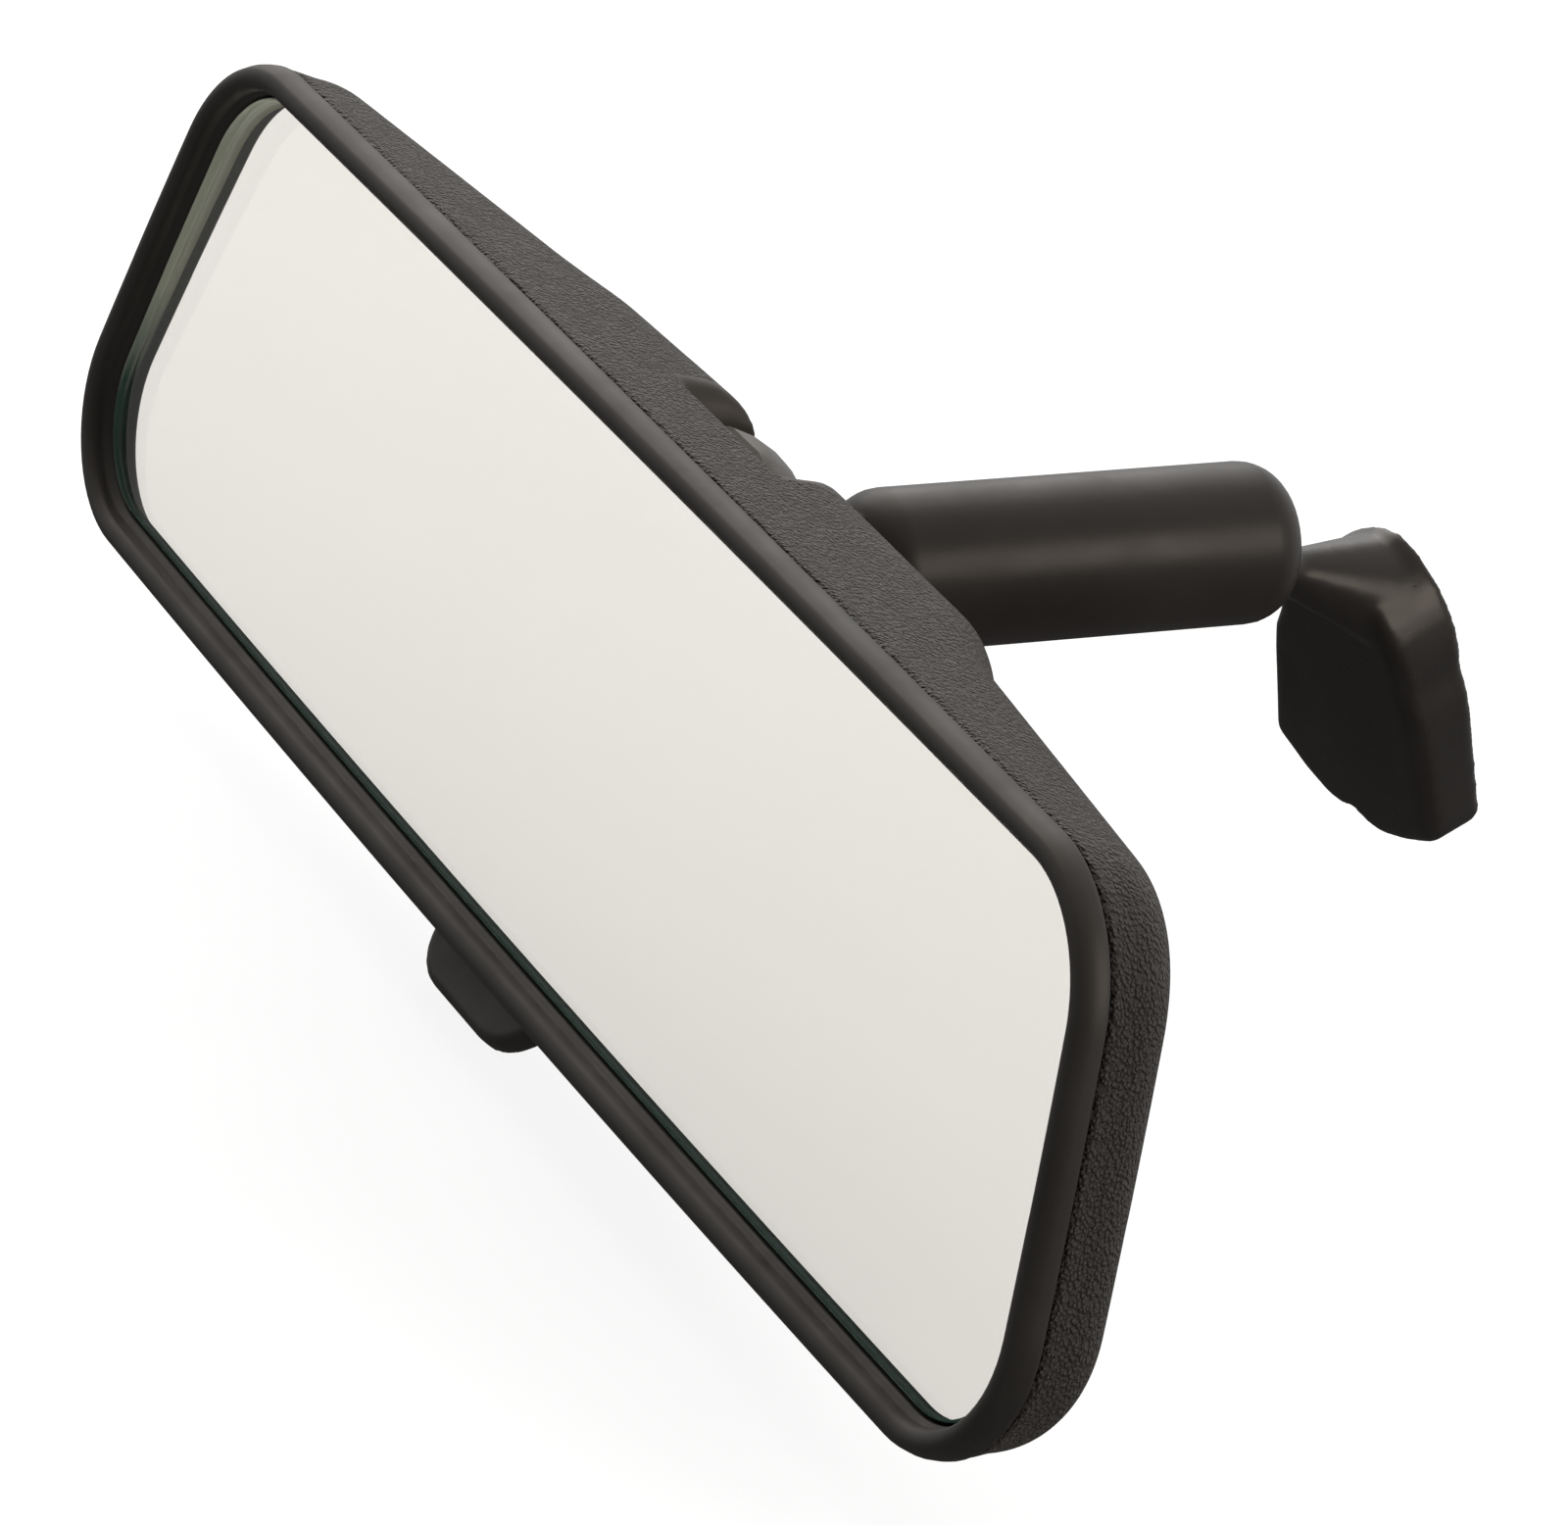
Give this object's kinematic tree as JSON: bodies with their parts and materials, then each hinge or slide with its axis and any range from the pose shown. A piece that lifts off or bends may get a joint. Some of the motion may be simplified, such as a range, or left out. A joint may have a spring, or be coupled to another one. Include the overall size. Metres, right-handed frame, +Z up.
{
  "type": "interior rearview mirror",
  "caption": "Day/night prism mirror in a grained case, on a double-ball tubular arm with a windshield foot and a flip tab.",
  "frame": {"origin": "on the foot's flat windshield face, on its centre line above the button channel", "axes": "+X along the mirror head, +Y from the glass towards the windshield, +Z up with the tab on the lower edge"},
  "size_m": [0.247, 0.1328, 0.0786],
  "materials": {
    "case_black": "fine pebble grain, satin",
    "rim_black": "smooth satin",
    "glass": "polished, ground edges",
    "silver": "silvered, painted back",
    "foam": "closed-cell foam",
    "inner_plastic": "as moulded",
    "zinc": "tumbled die casting",
    "steel": "zinc plated",
    "tube_black": "satin black paint",
    "nylon": "moulded",
    "foot_black": "satin black paint on a die casting"
  },
  "bodies": {
    "foot": {"windshield_foot": "foot_black", "set_screw": "steel"},
    "rear_seat": {"seat_ring_rear": "nylon"},
    "arm": {"arm_tube": "tube_black", "socket_cup_rear": "nylon", "arm_spring": "steel"},
    "front_socket": {"socket_cup_front": "nylon"},
    "front_seat": {"seat_ring_front": "nylon"},
    "pivot": {"pivot_block": "zinc", "ball_stud": "steel"},
    "case": {"case_shell": "case_black", "bezel_rim": "rim_black", "prism_glass": "glass", "silver_backing": "silver", "foam_pad": "foam", "carrier_plate": "inner_plastic", "carrier_screw_1": "steel", "carrier_screw_2": "steel", "carrier_screw_3": "steel", "carrier_screw_4": "steel", "hinge_pin": "steel", "lever_pin": "steel", "toggle_spring": "steel"},
    "lever": {"toggle_lever": "rim_black"}
  },
  "joints": [
    {"name": "arm_swing", "type": "hinge", "parent": "foot", "child": "rear_seat", "pos_m": [0.0072, -0.03053, 0.00871], "axis": [0, 0, 1], "range_deg": [-10, 10]},
    {"name": "arm_tilt", "type": "hinge", "parent": "rear_seat", "child": "arm", "pos_m": [0.0072, -0.03053, 0.00871], "axis": [1, 0, 0], "range_deg": [-22, 3]},
    {"name": "head_roll", "type": "hinge", "parent": "arm", "child": "front_socket", "pos_m": [0.0072, -0.07624, 0.00076], "axis": [0, 0.9852, 0.1714], "range_deg": [-25, 25]},
    {"name": "head_swing", "type": "hinge", "parent": "front_socket", "child": "front_seat", "pos_m": [0.0072, -0.07624, 0.00076], "axis": [0, 0, 1], "range_deg": [-15, 15]},
    {"name": "head_tilt", "type": "hinge", "parent": "front_seat", "child": "pivot", "pos_m": [0.0072, -0.07624, 0.00076], "axis": [1, 0, 0], "range_deg": [-12, 26]},
    {"name": "case_tilt", "type": "hinge", "parent": "pivot", "child": "case", "pos_m": [0.0072, -0.10139, 0.00291], "axis": [1, 0, 0], "range_deg": [0, 4]},
    {"name": "lever_flip", "type": "hinge", "parent": "case", "child": "lever", "pos_m": [0.0072, -0.09829, -0.03989], "axis": [1, 0, 0], "range_deg": [0, 32]}
  ],
  "couplings": [
    {"joint": "lever_flip", "follows": "case_tilt", "ratio": 8}
  ]
}
